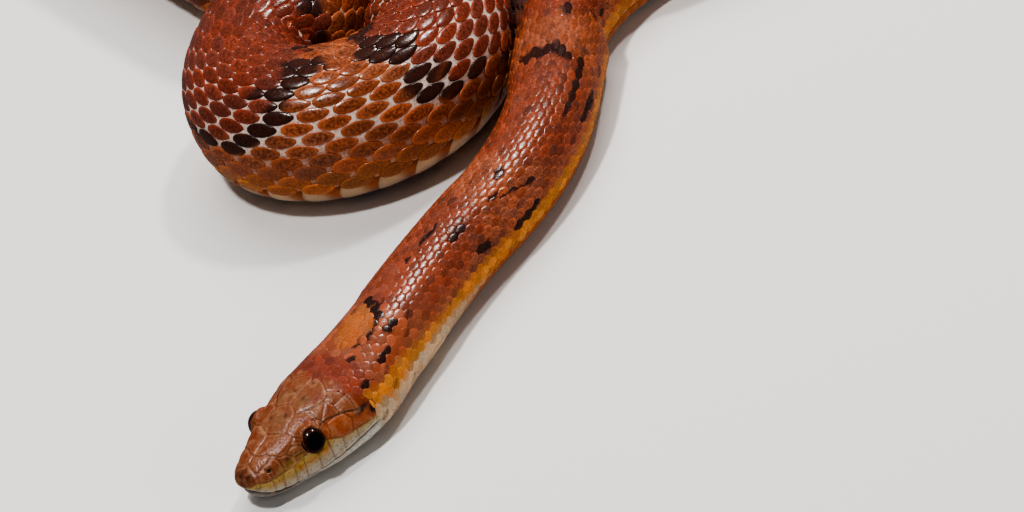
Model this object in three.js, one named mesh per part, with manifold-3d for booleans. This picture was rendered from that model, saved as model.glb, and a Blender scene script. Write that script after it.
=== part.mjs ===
import * as THREE from "three";
import { mergeVertices } from "three/addons/utils/BufferGeometryUtils.js";
import Module from "manifold-3d";

// A corn snake, life size, lying on a flat floor at z = 0. Millimetres and degrees.
// A station s is a distance along the body, counted from just behind the front of the nostrils.

// Driving dimensions
const LENGTH = 1340;
const TIP = -0.8;
const SNOUT_AT = [-216.95, -112.85];
const HEADING = 34.5;
const EASE = 0.1;
const JOIN_GAP = 0.3;
const BELLY_SINK = 0.03;
const SQUEEZE = 4.2;
const SQUEEZE_MOST = 0.25;
const BODY_SIDES = 16;
const HEAD_SIDES = 24;
const STEP_LENGTH = 14;
const STEP_TURN = 12;

// Bends of the body: where each starts, where it ends, and how far it turns to the left
const BENDS = [
  [20, 44, 15.5],
  [44, 72, -8],
  [72, 110, 29],
  [123, 161, -67],
  [163, 346, 248],
  [401.5, 463.5, -192],
  [465.5, 508.5, 52],
  [552, 668, -120],
  [742, 836, -100],
  [850, 952, 145],
  [972, 1072, -150],
  [1087, 1177, 120],
  [1190, 1310, -105],
];

// Outline of the animal by station: half of its width, the height of its back,
// the height at which it is widest, and the height of its underside
const HALF_WIDTH = [
  [TIP, 1.9], [-0.4, 3], [0.4, 3.9], [1.5, 4.5], [3, 5.1], [6, 6.3], [9, 7.4], [12, 8.4], [16, 9.6],
  [20, 10.5], [23.5, 10.9], [27, 10.6], [31, 9.7], [36, 8.8], [60, 8.3], [130, 8.8], [250, 11.2], [380, 14],
  [500, 16], [600, 16.5], [760, 15.8], [950, 13], [1090, 9.7], [1125, 8.5], [1180, 5.8],
  [1250, 3.3], [1320, 1.3], [1340, 0.7],
];
const BACK_HEIGHT = [
  [TIP, 5.6], [-0.4, 6.4], [0.4, 7.1], [1.5, 7.7], [3, 8.4], [6, 9.4], [9, 10.3], [12, 11.1], [16, 11.8],
  [20, 12.3], [24, 12.7], [28, 13.3], [36, 14.6], [60, 14.8], [130, 15.8], [250, 20.2], [380, 25.2],
  [500, 28.8], [600, 29.7], [760, 28.4], [950, 23.4], [1090, 17.5], [1125, 15.3], [1180, 10.4],
  [1250, 5.9], [1320, 2.3], [1340, 1.3],
];
const WIDEST_SHARE = [[TIP, 0.62], [2, 0.42], [6, 0.33], [12, 0.29], [20, 0.33], [28, 0.41], [38, 0.45],
  [1340, 0.45]];
const UNDERSIDE = [[TIP, 2.8], [0, 1.8], [1.5, 0.8], [3.5, 0.2], [5, 0], [1340, 0]];
const TOP_ROUNDNESS = [[TIP, 2.2], [8, 2.6], [20, 2.5], [34, 2.1], [1340, 2.1]];
const LOW_ROUNDNESS = [[TIP, 2], [6, 1.9], [12, 2.2], [18, 2.5], [36, 2.6], [1340, 2.6]];

// Mouth: the height of the lip line by station, ending at the corner of the jaws
const LIP_LINE = [[-2, 4.3], [TIP, 4.1], [1.2, 2.9], [3, 2.4], [6, 2.1], [10, 2.2], [14, 2.7], [17, 3.4],
  [20, 4], [22.5, 4.3]];
const JAW_REAR = 24.2;
const JAW_CORNER = 22.5;

// Eyes: centre and radius of each eyeball, and the room left round it
const EYE = { station: 11.2, side: 6.3, height: 7.5, radius: 2.5, room: 0.32 };

// Where the flesh is parted
const HEAD_END = 26;
const VENT = 1120;
const NECK_ENDS = [HEAD_END, 110, 161];
const TRUNK_ENDS = [161, 223, 285, 346, 400, 422, 443, 464, 508, 552, 610, 668, 742, 789, 836, 901, 952,
  1022, 1072, VENT];
const TAIL_ENDS = [VENT, 1177, 1250, LENGTH];

// Finishes
const SKIN_BROWN_RED = new THREE.MeshStandardMaterial({ color: 0xa2462a, roughness: 0.42, metalness: 0 });
const HEAD_BROWN = new THREE.MeshStandardMaterial({ color: 0xa8562e, roughness: 0.38, metalness: 0 });
const LIP_CREAM = new THREE.MeshStandardMaterial({ color: 0xd9c08a, roughness: 0.4, metalness: 0 });
const EYE_DARK = new THREE.MeshStandardMaterial({ color: 0x1a0d0a, roughness: 0.08, metalness: 0 });

// Reads a list of stations as one smooth curve that doesn't overshoot
function along(stations, s) {
  const last = stations.length - 1;
  const at = Math.min(Math.max(s, stations[0][0]), stations[last][0]);
  let i = 0;
  while (i < last - 1 && stations[i + 1][0] < at) i += 1;
  const slope = (k) => (stations[k + 1][1] - stations[k][1]) / (stations[k + 1][0] - stations[k][0]);
  const tangent = (k) => {
    if (k === 0) return slope(0);
    if (k === last) return slope(last - 1);
    const before = slope(k - 1);
    const after = slope(k);
    return before * after > 0 ? (2 * before * after) / (before + after) : 0;
  };
  const span = stations[i + 1][0] - stations[i][0];
  const t = (at - stations[i][0]) / span;
  const rise = (3 * t ** 2 - 2 * t ** 3) * (stations[i + 1][1] - stations[i][1]);
  const leaving = (t ** 3 - 2 * t ** 2 + t) * tangent(i);
  const arriving = (t ** 3 - t ** 2) * tangent(i + 1);
  return stations[i][1] + rise + span * (leaving + arriving);
}

// Share of a bend that is behind a point t of the way through it
function turned(t) {
  const near = Math.min(Math.max(Math.min(t, 1 - t), 0), 0.5);
  const eased = near < EASE ? near ** 2 / (2 * EASE * (1 - EASE)) : (near - EASE / 2) / (1 - EASE);
  return t < 0.5 ? eased : 1 - eased;
}

// The way from the snout back along the body, in radians
function headingAt(s) {
  let degrees = HEADING;
  for (const [start, end, turn] of BENDS) degrees += turn * turned((s - start) / (end - start));
  return THREE.MathUtils.degToRad(degrees);
}

// The middle of the body on the floor, one point each millimetre
const ROUTE = [new THREE.Vector2(SNOUT_AT[0], SNOUT_AT[1])];
for (let s = TIP; s < LENGTH; s += 1) {
  const heading = headingAt(s + 0.5);
  const step = new THREE.Vector2(Math.cos(heading), Math.sin(heading));
  ROUTE.push(ROUTE.at(-1).clone().add(step));
}

function routeAt(s) {
  const steps = s - TIP;
  const i = Math.min(Math.max(Math.floor(steps), 0), ROUTE.length - 2);
  return ROUTE[i].clone().lerp(ROUTE[i + 1], steps - i);
}

// A place given by station, distance to the animal's left and height
function placed(s, left, up) {
  const heading = headingAt(s);
  const middle = routeAt(s);
  return new THREE.Vector3(middle.x + Math.sin(heading) * left, middle.y - Math.cos(heading) * left, up);
}

function power(value, exponent) {
  return Math.sign(value) * Math.abs(value) ** exponent;
}

// A point on the outer surface: angle 0 is the middle of the back, 90 the left side, 180 the belly
function surfacePoint(s, degrees) {
  const angle = THREE.MathUtils.degToRad(degrees);
  const under = along(UNDERSIDE, s);
  const back = along(BACK_HEIGHT, s);
  const widest = under + (back - under) * along(WIDEST_SHARE, s);
  const roundness = Math.cos(angle) > 0 ? along(TOP_ROUNDNESS, s) : along(LOW_ROUNDNESS, s);
  const rise = power(Math.cos(angle), 2 / roundness);
  const sunk = widest - under + (back - under) * BELLY_SINK;
  const up = widest + rise * (rise > 0 ? back - widest : sunk);
  const bend = headingAt(s + 0.5) - headingAt(s - 0.5);
  const side = power(Math.sin(angle), 2 / roundness);
  const inside = side * bend < 0;
  const squeeze = inside ? 1 - Math.min(SQUEEZE_MOST, SQUEEZE * Math.abs(bend)) : 1;
  return placed(s, side * squeeze * along(HALF_WIDTH, s), Math.max(up, under));
}

// A closed skin over rings of points, each end closed by a fan about its middle
function loft(rings) {
  const sides = rings[0].length;
  const points = rings.flat();
  const faces = [];
  const ringPoint = (ring, side) => ring * sides + (side % sides);
  for (let ring = 0; ring < rings.length - 1; ring += 1) {
    for (let side = 0; side < sides; side += 1) {
      const a = ringPoint(ring, side);
      const b = ringPoint(ring, side + 1);
      const c = ringPoint(ring + 1, side + 1);
      const d = ringPoint(ring + 1, side);
      faces.push(a, b, c, a, c, d);
    }
  }
  for (const ring of [0, rings.length - 1]) {
    const middle = new THREE.Vector3();
    for (const point of rings[ring]) middle.addScaledVector(point, 1 / sides);
    const centre = points.push(middle) - 1;
    for (let side = 0; side < sides; side += 1) {
      const a = ringPoint(ring, side);
      const b = ringPoint(ring, side + 1);
      faces.push(...(ring === 0 ? [centre, b, a] : [centre, a, b]));
    }
  }
  const geometry = new THREE.BufferGeometry();
  geometry.setFromPoints(points);
  geometry.setIndex(faces);
  return geometry;
}

function ringAt(s, sides) {
  const ring = [];
  for (let side = 0; side < sides; side += 1) ring.push(surfacePoint(s, (360 * side) / sides));
  return ring;
}

// A length of the body between two stations, with half of the gap left at each end
function bodyLength(start, end) {
  const from = start + JOIN_GAP / 2;
  const to = end === LENGTH ? end : end - JOIN_GAP / 2;
  const turn = THREE.MathUtils.radToDeg(Math.abs(headingAt(to) - headingAt(from)));
  const steps = Math.max(2, Math.ceil(Math.max((to - from) / STEP_LENGTH, turn / STEP_TURN)));
  const rings = [];
  for (let step = 0; step <= steps; step += 1) {
    rings.push(ringAt(from + ((to - from) * step) / steps, BODY_SIDES));
  }
  return loft(rings);
}

// Solids for cutting
const wasm = await Module();
wasm.setup();

function solidOf(geometry) {
  const bare = geometry.clone();
  bare.deleteAttribute("normal");
  bare.deleteAttribute("uv");
  const merged = mergeVertices(bare, 1e-4);
  const vertProperties = new Float32Array(merged.attributes.position.array);
  const triVerts = new Uint32Array(merged.index.array);
  return new wasm.Manifold(new wasm.Mesh({ numProp: 3, vertProperties, triVerts }));
}

function geometryOf(solid) {
  const { vertProperties, triVerts } = solid.getMesh();
  const geometry = new THREE.BufferGeometry();
  geometry.setAttribute("position", new THREE.BufferAttribute(new Float32Array(vertProperties), 3));
  geometry.setIndex(Array.from(triVerts));
  return geometry;
}

// Everything under the lip line, lifted by a height and reaching back to the jaw's rear
function underTheLip(lift) {
  const reach = 14;
  const outline = new THREE.Shape();
  outline.moveTo(-3, -2);
  outline.lineTo(-3, along(LIP_LINE, -2) + lift);
  for (let s = -2; s < JAW_CORNER; s += 1.5) outline.lineTo(s, along(LIP_LINE, s) + lift);
  outline.lineTo(JAW_CORNER + lift, along(LIP_LINE, JAW_CORNER) + lift);
  outline.lineTo(JAW_REAR + lift, -2);
  outline.closePath();
  const geometry = new THREE.ExtrudeGeometry(outline, { depth: 2 * reach, bevelEnabled: false });
  const heading = headingAt(0);
  const back = new THREE.Vector3(Math.cos(heading), Math.sin(heading), 0);
  const up = new THREE.Vector3(0, 0, 1);
  const across = new THREE.Vector3().crossVectors(back, up);
  const frame = new THREE.Matrix4().makeBasis(back, up, across);
  geometry.applyMatrix4(frame);
  const corner = placed(0, -reach, 0);
  geometry.translate(corner.x, corner.y, 0);
  return solidOf(geometry);
}

function eyeball(side, room) {
  const geometry = new THREE.SphereGeometry(EYE.radius + room, 16, 10);
  const centre = placed(EYE.station, side * EYE.side, EYE.height);
  geometry.translate(centre.x, centre.y, centre.z);
  return geometry;
}

const SNOUT_STATIONS = [TIP, -0.4, 0.4, 1.2, 2.4, 4, 6, 8, 10, 12, 14, 16, 18, 20, 22, 24];
const HEAD_STATIONS = [...SNOUT_STATIONS, HEAD_END - JOIN_GAP / 2];
const wholeHead = solidOf(loft(HEAD_STATIONS.map((s) => ringAt(s, HEAD_SIDES))));

function headGeometry() {
  const above = wholeHead.subtract(underTheLip(JOIN_GAP));
  const leftSocket = solidOf(eyeball(1, EYE.room));
  const rightSocket = solidOf(eyeball(-1, EYE.room));
  return geometryOf(above.subtract(leftSocket).subtract(rightSocket));
}

function jawGeometry() {
  return geometryOf(wholeHead.intersect(underTheLip(0)));
}

const snake = new THREE.Group();

function add(name, geometry, material) {
  const mesh = new THREE.Mesh(geometry, material);
  mesh.name = name;
  snake.add(mesh);
}

add("head", headGeometry(), HEAD_BROWN);
add("lower_jaw", jawGeometry(), LIP_CREAM);
add("eye_left", eyeball(1, 0), EYE_DARK);
add("eye_right", eyeball(-1, 0), EYE_DARK);

function addLengths(name, ends) {
  for (let i = 0; i < ends.length - 1; i += 1) {
    const number = String(i + 1).padStart(2, "0");
    add(`${name}_${number}`, bodyLength(ends[i], ends[i + 1]), SKIN_BROWN_RED);
  }
}

addLengths("neck", NECK_ENDS);
addLengths("trunk", TRUNK_ENDS);
addLengths("tail", TAIL_ENDS);

export default snake;
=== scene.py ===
import bmesh
import bpy
import numpy as np
from mathutils import Matrix, Vector


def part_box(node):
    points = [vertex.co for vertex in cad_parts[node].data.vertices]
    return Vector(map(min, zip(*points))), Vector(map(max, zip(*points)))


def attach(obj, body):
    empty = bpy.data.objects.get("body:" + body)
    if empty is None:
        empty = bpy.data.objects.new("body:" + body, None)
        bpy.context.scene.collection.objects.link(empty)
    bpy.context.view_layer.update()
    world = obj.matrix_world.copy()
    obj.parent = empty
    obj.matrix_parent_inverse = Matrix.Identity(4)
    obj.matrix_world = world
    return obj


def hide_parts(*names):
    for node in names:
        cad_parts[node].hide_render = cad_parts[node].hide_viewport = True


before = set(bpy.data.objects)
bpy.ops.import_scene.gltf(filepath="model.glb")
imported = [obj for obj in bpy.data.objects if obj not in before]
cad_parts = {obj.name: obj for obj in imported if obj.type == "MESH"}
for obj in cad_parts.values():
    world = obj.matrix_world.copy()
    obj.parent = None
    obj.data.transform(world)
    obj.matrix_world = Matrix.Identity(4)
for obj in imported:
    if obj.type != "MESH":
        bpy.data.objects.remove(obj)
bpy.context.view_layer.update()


# The lie of the body
# A corn snake 1.34 m long rests on its belly in loose bends. A station s is a distance in millimetres along
# the body from just behind the front of the nostrils, and an angle goes round it: 0 is the back, 90 the left
# side, 180 the belly.
LENGTH = 1340
VENT = 1120
TIP = -0.8
SNOUT_AT = (-216.95, -112.85)
HEADING = 34.5
EASE = 0.1
BENDS = (
    (20, 44, 15.5), (44, 72, -8), (72, 110, 29), (123, 161, -67), (163, 346, 248), (401.5, 463.5, -192),
    (465.5, 508.5, 52), (552, 668, -120), (742, 836, -100), (850, 952, 145), (972, 1072, -150),
    (1087, 1177, 120), (1190, 1310, -105),
)
HALF_WIDTH = (
    (-1.1, 0.2), (-1.04, 1), (-0.9, 1.6), (TIP, 1.9), (-0.4, 3), (0.4, 3.9), (1.5, 4.5), (3, 5.1), (6, 6.3),
    (9, 7.4), (12, 8.4), (16, 9.6), (20, 10.5), (23.5, 10.9), (27, 10.6), (31, 9.7), (36, 8.8), (60, 8.3),
    (130, 8.8), (250, 11.2), (380, 14), (500, 16), (600, 16.5), (760, 15.8), (950, 13), (1090, 9.7),
    (1125, 8.5), (1180, 5.8), (1250, 3.3), (1320, 1.3), (1340, 0.7),
)
BACK_HEIGHT = (
    (-1.1, 4.5), (-1.04, 5), (-0.9, 5.4), (TIP, 5.6), (-0.4, 6.4), (0.4, 7.1), (1.5, 7.7), (3, 8.4),
    (6, 9.4), (9, 10.3), (12, 11.1), (16, 11.8), (20, 12.3), (24, 12.7), (28, 13.3), (36, 14.6), (60, 14.8),
    (130, 15.8), (250, 20.2), (380, 25.2), (500, 28.8), (600, 29.7), (760, 28.4), (950, 23.4), (1090, 17.5),
    (1125, 15.3), (1180, 10.4), (1250, 5.9), (1320, 2.3), (1340, 1.3),
)
WIDEST_SHARE = ((TIP, 0.62), (2, 0.42), (6, 0.33), (12, 0.29), (20, 0.33), (28, 0.41), (38, 0.45),
                (1340, 0.45))
UNDERSIDE = ((-1.1, 4), (-1.04, 3.5), (-0.9, 3), (TIP, 2.8), (0, 1.8), (1.5, 0.8), (3.5, 0.2), (5, 0),
             (1340, 0))
TOP_ROUNDNESS = ((TIP, 2.2), (8, 2.6), (20, 2.5), (34, 2.1), (1340, 2.1))
LOW_ROUNDNESS = ((TIP, 2), (6, 1.9), (12, 2.2), (18, 2.5), (36, 2.6), (1340, 2.6))
BELLY_SINK = 0.03
SQUEEZE = 4.2
SQUEEZE_MOST = 0.25
COAT_DEPTH = ((20, 0.11), (40, 0.14), (60, 0.19), (130, 0.25), (420, 0.37), (900, 0.36), (1120, 0.27),
              (1250, 0.15), (1340, 0.1))
MM = 0.001


def along(table, s):
    """Reads a table of stations and values as one smooth curve that doesn't overshoot."""
    stations, values = np.array(table, float).T
    slope = np.diff(values) / np.diff(stations)
    tangent = np.concatenate([slope[:1], np.zeros(len(slope) - 1), slope[-1:]])
    same = slope[:-1] * slope[1:] > 0
    tangent[1:-1][same] = (2 * slope[:-1] * slope[1:])[same] / (slope[:-1] + slope[1:])[same]
    at = np.clip(s, stations[0], stations[-1])
    i = np.clip(np.searchsorted(stations, at, side="right") - 1, 0, len(slope) - 1)
    span = stations[i + 1] - stations[i]
    t = (at - stations[i]) / span
    rise = (3 * t**2 - 2 * t**3) * (values[i + 1] - values[i])
    return values[i] + rise + span * ((t**3 - 2 * t**2 + t) * tangent[i] + (t**3 - t**2) * tangent[i + 1])


def heading_at(s):
    """The way from the snout back along the body, in radians."""
    degrees = np.full(np.shape(s), float(HEADING))
    for start, end, turn in BENDS:
        t = np.clip((s - start) / (end - start), 0, 1)
        near = np.minimum(t, 1 - t)
        eased = np.where(near < EASE, near**2 / (2 * EASE * (1 - EASE)), (near - EASE / 2) / (1 - EASE))
        degrees += turn * np.where(t < 0.5, eased, 1 - eased)
    return np.radians(degrees)


ROUTE_STEP = 0.25
FIRST = TIP - 0.3
route_s = np.arange(FIRST, LENGTH + ROUTE_STEP / 2, ROUTE_STEP)
headings = heading_at(route_s)
steps = ROUTE_STEP * np.column_stack([np.cos(headings), np.sin(headings)])
route = np.cumsum(steps, axis=0) - steps / 2
route += np.array(SNOUT_AT) - [np.interp(TIP, route_s, route[:, k]) for k in (0, 1)]
bends = np.gradient(headings, ROUTE_STEP)
station_facts = {
    name: along(table, route_s)
    for name, table in (
        ("half", HALF_WIDTH), ("back", BACK_HEIGHT), ("share", WIDEST_SHARE), ("under", UNDERSIDE),
        ("top", TOP_ROUNDNESS), ("low", LOW_ROUNDNESS),
    )
}
station_facts["bend"] = np.convolve(bends, np.ones(9) / 9, mode="same")


def fact(name, s):
    return np.interp(s, route_s, station_facts[name])


def section(s, degrees):
    """The side and the height of the outer surface, before the bends squeeze it."""
    angle = np.radians(degrees)
    under = fact("under", s)
    back = fact("back", s)
    widest = under + (back - under) * fact("share", s)
    roundness = np.where(np.cos(angle) > 0, fact("top", s), fact("low", s))
    rise = np.sign(np.cos(angle)) * np.abs(np.cos(angle)) ** (2 / roundness)
    sunk = widest - under + (back - under) * BELLY_SINK
    up = np.maximum(widest + rise * np.where(rise > 0, back - widest, sunk), under)
    side = np.sign(np.sin(angle)) * np.abs(np.sin(angle)) ** (2 / roundness)
    return side * fact("half", s), up


def place(s, side, up):
    """A point at a station, a distance to the snake's left and a height, in millimetres."""
    heading = np.interp(s, route_s, headings)
    x = np.interp(s, route_s, route[:, 0]) + np.sin(heading) * side
    y = np.interp(s, route_s, route[:, 1]) - np.cos(heading) * side
    return np.stack([x, y, np.broadcast_to(up, np.shape(x))], axis=-1)


def outer(s, degrees):
    """A point on the outer surface, the tips of the scales."""
    side, up = section(s, degrees)
    bend = fact("bend", s)
    squeeze = np.where(side * bend < 0, 1 - np.minimum(SQUEEZE_MOST, SQUEEZE * np.abs(bend)), 1)
    return place(s, side * squeeze, up)


def surface(s, degrees, depth):
    """Points at a depth under the outer surface, and how far the bends stretch it there along the body."""
    ds, da = 0.2, 1.0
    point = outer(s, degrees)
    lengthwise = (outer(s + ds, degrees) - outer(s - ds, degrees)) / (2 * ds)
    around = (outer(s, degrees + da) - outer(s, degrees - da)) / (2 * da)
    normal = np.cross(around, lengthwise)
    normal /= np.maximum(np.linalg.norm(normal, axis=-1, keepdims=True), 1e-9)
    moved = point - normal * np.asarray(depth)[..., None]
    return moved, np.linalg.norm(lengthwise, axis=-1)


# How far round the body an angle is, as a share of the way from the back to the belly
GIRTH_STATIONS = np.concatenate(
    [np.arange(FIRST, 3, 0.1), np.arange(3, 40, 0.5), np.arange(40, LENGTH + 1, 5)]
)
GIRTH_ANGLES = np.linspace(0, 180, 181)
GIRTH_SHARES = np.linspace(0, 1, 121)
side, up = section(GIRTH_STATIONS[:, None], GIRTH_ANGLES[None])
pieces = np.hypot(np.diff(side, axis=1), np.diff(up, axis=1))
arcs = np.concatenate([np.zeros((len(side), 1)), np.cumsum(pieces, axis=1)], axis=1)
half_girths = arcs[:, -1]
angle_grid = np.array([np.interp(GIRTH_SHARES, arc / arc[-1], GIRTH_ANGLES) for arc in arcs])


def angle_of(s, share):
    """The angle of a share of the girth, which may run on past the middle of the belly."""
    share = (share + 1) % 2 - 1
    row = np.interp(s, GIRTH_STATIONS, np.arange(len(GIRTH_STATIONS)))
    low = np.clip(row.astype(int), 0, len(GIRTH_STATIONS) - 2)
    column = np.interp(np.abs(share), GIRTH_SHARES, np.arange(len(GIRTH_SHARES)))
    left = np.clip(column.astype(int), 0, len(GIRTH_SHARES) - 2)
    down, across = row - low, column - left
    near = angle_grid[low, left] * (1 - across) + angle_grid[low, left + 1] * across
    far = angle_grid[low + 1, left] * (1 - across) + angle_grid[low + 1, left + 1] * across
    return np.sign(share) * (near * (1 - down) + far * down)


def half_girth(s):
    return np.interp(s, GIRTH_STATIONS, half_girths)


def coat_depth(s):
    """How thick the coat of scales is: the skin lies this far under the tips of the scales."""
    return along(COAT_DEPTH, s)


# The markings
# Brick-red saddles edged in black cross an orange-brown back, above yellow-orange sides and a cream belly.
# The neck has a pale spot behind the head and scattered black flecks. Skin and scales share these colours.
SADDLE_STATIONS = (-30, 54, 95, 138, 401.5, 452.5, 1100, 1340)
SADDLE_COUNTS = (-2, 0, 1, 2, 9, 10, 27, 37)
SADDLE_SHARE = 0.36
SADDLE_REACH = 0.445
SADDLE_SQUARENESS = 2.8
NECK_SPOT = (33.5, 0.0, 6.2, 0.13)
BLACK_MARKS = (
    # station, share, half length, half height, slant
    (39.5, -0.04, 1.2, 0.06, 0), (38.4, 0.05, 1.4, 0.03, -0.01), (36.4, 0.1, 1.3, 0.03, 0),
    (35, 0.13, 1.3, 0.025, -0.01), (35, 0.22, 1.2, 0.03, 0.01), (31.6, 0.14, 1.2, 0.025, 0),
    (28.4, 0.11, 1.4, 0.02, 0.01), (25.5, 0.13, 1.2, 0.02, 0), (30.5, 0.3, 1.6, 0.02, 0),
    (24.6, 0.32, 1.2, 0.022, 0), (50.5, 0.02, 1.6, 0.03, 0), (57, 0.03, 2.6, 0.025, 0.01),
    (60.5, 0.2, 3.2, 0.035, 0.012), (63, 0.43, 2, 0.035, 0), (71.5, 0.23, 1.8, 0.03, 0.01),
    (77, 0.13, 2, 0.03, -0.01), (75.5, 0.3, 4.8, 0.022, 0.07), (74, 0.5, 4, 0.03, 0),
    (101, 0.3, 5.5, 0.018, 0), (102, 0.47, 6, 0.03, 0), (109.8, -0.05, 1.8, 0.13, 0),
    (110.4, 0.16, 1.9, 0.1, 0), (108.6, 0.3, 2.2, 0.04, 0), (123.6, 0.15, 2.4, 0.04, 0.01),
)


def smooth(low, high, value):
    t = np.clip((value - low) / (high - low), 0, 1)
    return t * t * (3 - 2 * t)


def wavy(s, share, seed):
    """A soft, seamless ripple between -1 and 1 over the body."""
    total = 0
    for k, (rate, turns) in enumerate(((0.11, 2), (0.23, 5), (0.47, 9), (0.83, 15))):
        total = total + np.sin(rate * s + turns * share * np.pi + seed * (k + 1.7)) / (1 + k * 0.6)
    return total / 2.6


def mound(s, share, station, at, long, tall):
    """A soft round patch about a place on either side of the body."""
    return np.exp(-(((s - station) / long) ** 2) - ((np.abs(share) - at) / tall) ** 2)


def markings(s, share):
    """How much of saddle, black, blotch, yellow side, cream belly and pale spot a place on the body has."""
    count = np.interp(s, SADDLE_STATIONS, SADDLE_COUNTS)
    number = np.round(count)
    off = (count - number) / SADDLE_SHARE
    reach = SADDLE_REACH * (1 + 0.06 * np.sin(number * 2.4 - 0.9))
    high = np.abs(share) / reach
    edge = (np.abs(off) ** SADDLE_SQUARENESS + high**SADDLE_SQUARENESS) ** (1 / SADDLE_SQUARENESS)
    edge = edge + 0.05 * wavy(s, share, 3)
    neck = smooth(150, 108, s)
    saddle = (1 - smooth(0.97, 1.03, edge)) * smooth(36, 41, s + 20 * np.abs(share))
    thick = (0.085 + 0.05 * wavy(s, share, 11)) * (1 - 0.35 * smooth(0.6, 0.9, high))
    rim = 1 - smooth(thick, thick + 0.06, np.abs(edge - 1.05))
    rim *= (1 - neck) * smooth(-0.8, -0.3, wavy(2.3 * s, 2 * share, 5))
    rim *= 1 - 0.8 * smooth(0.72, 0.95, high) * smooth(-0.2, 0.5, wavy(s, 3 * share, 9))
    nape = smooth(27, 24, s)
    spot = np.hypot((s - NECK_SPOT[0]) / NECK_SPOT[2], (share - NECK_SPOT[1]) / NECK_SPOT[3])
    black = rim
    for station, at, long, tall, slant in BLACK_MARKS:
        along_mark = (s - station) / long
        across = (share - at - slant * along_mark) / tall
        black = np.maximum(black, 1 - smooth(0.75, 1.15, np.hypot(along_mark, across)))
    beside = (np.abs(count - np.floor(count) - 0.5) / 0.17) ** 2 + ((np.abs(share) - 0.56) / 0.07) ** 2
    blotch = (1 - smooth(0.6, 1.1, beside + 0.5 * wavy(s, share, 8))) * smooth(480, 520, s)
    flank_from = np.interp(s, (24, 36, 45, 60, 90, 300, 440), (0.36, 0.42, 0.46, 0.5, 0.53, 0.54, 0.56))
    flank = smooth(flank_from - 0.03, flank_from + 0.04, np.abs(share) + 0.02 * wavy(s, share, 2))
    flank *= np.maximum(neck, 0.5 + 0.5 * smooth(-0.5, 0.4, np.cos(2 * np.pi * count)))
    belly_from = np.interp(s, (24, 30, 45, 56, 70, 200), (0.46, 0.5, 0.53, 0.6, 0.67, 0.7))
    belly = smooth(belly_from - 0.02, belly_from + 0.04, np.abs(share))
    return {
        "saddle": np.maximum(saddle, nape), "black": black, "blotch": blotch, "flank": flank, "belly": belly,
        "spot": 1 - smooth(0.8, 1.1, spot), "neck": neck,
    }


GROUND_ORANGE = (0.38, 0.112, 0.046)
NECK_RED = (0.35, 0.1, 0.05)
SADDLE_RED = (0.245, 0.055, 0.03)
EDGE_BLACK = (0.014, 0.009, 0.009)
SIDE_YELLOW = (0.6, 0.225, 0.045)
BELLY_CREAM = (0.56, 0.37, 0.22)
BLOTCH_BROWN = (0.13, 0.022, 0.009)
SPOT_ORANGE = (0.42, 0.13, 0.035)


def painted(colours, colour, amount):
    """Lays a colour over the colours found so far."""
    return colours + (np.array(colour) - colours) * np.asarray(amount)[..., None]


def hide_colours(s, share, soft=0.0):
    """The colour of the hide at a place on the body. A scale's own softness moves the edge of its black."""
    found = markings(s, share)
    colours = painted(np.zeros((*np.shape(s), 3)), GROUND_ORANGE, np.ones(np.shape(s)))
    colours = painted(colours, NECK_RED, 0.75 * found["neck"])
    colours = painted(colours, SADDLE_RED, found["saddle"] * (1 - 0.35 * found["neck"] * smooth(24, 44, s)))
    colours = painted(colours, SPOT_ORANGE, 0.8 * found["spot"])
    colours = painted(colours, SIDE_YELLOW, found["flank"] * (0.75 + 0.25 * found["neck"]))
    colours = painted(colours, BLOTCH_BROWN, found["blotch"])
    colours = painted(colours, BELLY_CREAM, found["belly"])
    ragged = 0.4 * found["neck"] * wavy(8 * s, 9 * share, 6)
    return painted(colours, EDGE_BLACK, 0.93 * np.clip((found["black"] - 0.3 - soft - ragged) * 3, 0, 1))


def write_colours(mesh, name, values):
    """Stores a colour for each point of a mesh."""
    layer = mesh.attributes.new(name, "FLOAT_COLOR", "POINT")
    flat = np.ones((len(mesh.vertices), 4), dtype=np.float32)
    flat[:, :3] = np.clip(np.column_stack(values) if isinstance(values, tuple) else values, 0, 1)
    layer.data.foreach_set("color", flat.ravel())


def node(tree, kind, inputs=None, **settings):
    made = tree.nodes.new(kind)
    for key, value in settings.items():
        setattr(made, key, value)
    for key, value in (inputs or {}).items():
        if isinstance(value, bpy.types.NodeSocket):
            tree.links.new(value, made.inputs[key])
        else:
            made.inputs[key].default_value = value
    return made


def blend_of(tree, factor, first, second, kind="MIX"):
    made = node(tree, "ShaderNodeMix", data_type="RGBA", blend_type=kind, clamp_factor=True)
    for socket, value in ((0, factor), (6, first), (7, second)):
        if isinstance(value, bpy.types.NodeSocket):
            tree.links.new(value, made.inputs[socket])
        else:
            made.inputs[socket].default_value = (*value, 1) if isinstance(value, tuple) else value
    return made.outputs[2]


def product_of(tree, first, second):
    return node(tree, "ShaderNodeMath", {0: first, 1: second}, operation="MULTIPLY").outputs[0]


def spread_to(tree, value, low, high):
    """Stretches a range of values to the range from 0 to 1."""
    return node(tree, "ShaderNodeMapRange", {0: value, 1: low, 2: high}).outputs[0]


def blank_material(name):
    material = bpy.data.materials.new(name)
    material.use_nodes = True
    tree = material.node_tree
    return material, tree, tree.nodes["Principled BSDF"]


def mottle(tree, size, low, high):
    """Flecks of a size in millimetres, as a value between 0 and 1."""
    where = node(tree, "ShaderNodeTexCoord").outputs["Object"]
    flecks = node(tree, "ShaderNodeTexNoise", {"Vector": where, "Scale": 1 / (size * MM), "Detail": 3.0})
    return spread_to(tree, flecks.outputs[0], low, high)


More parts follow.
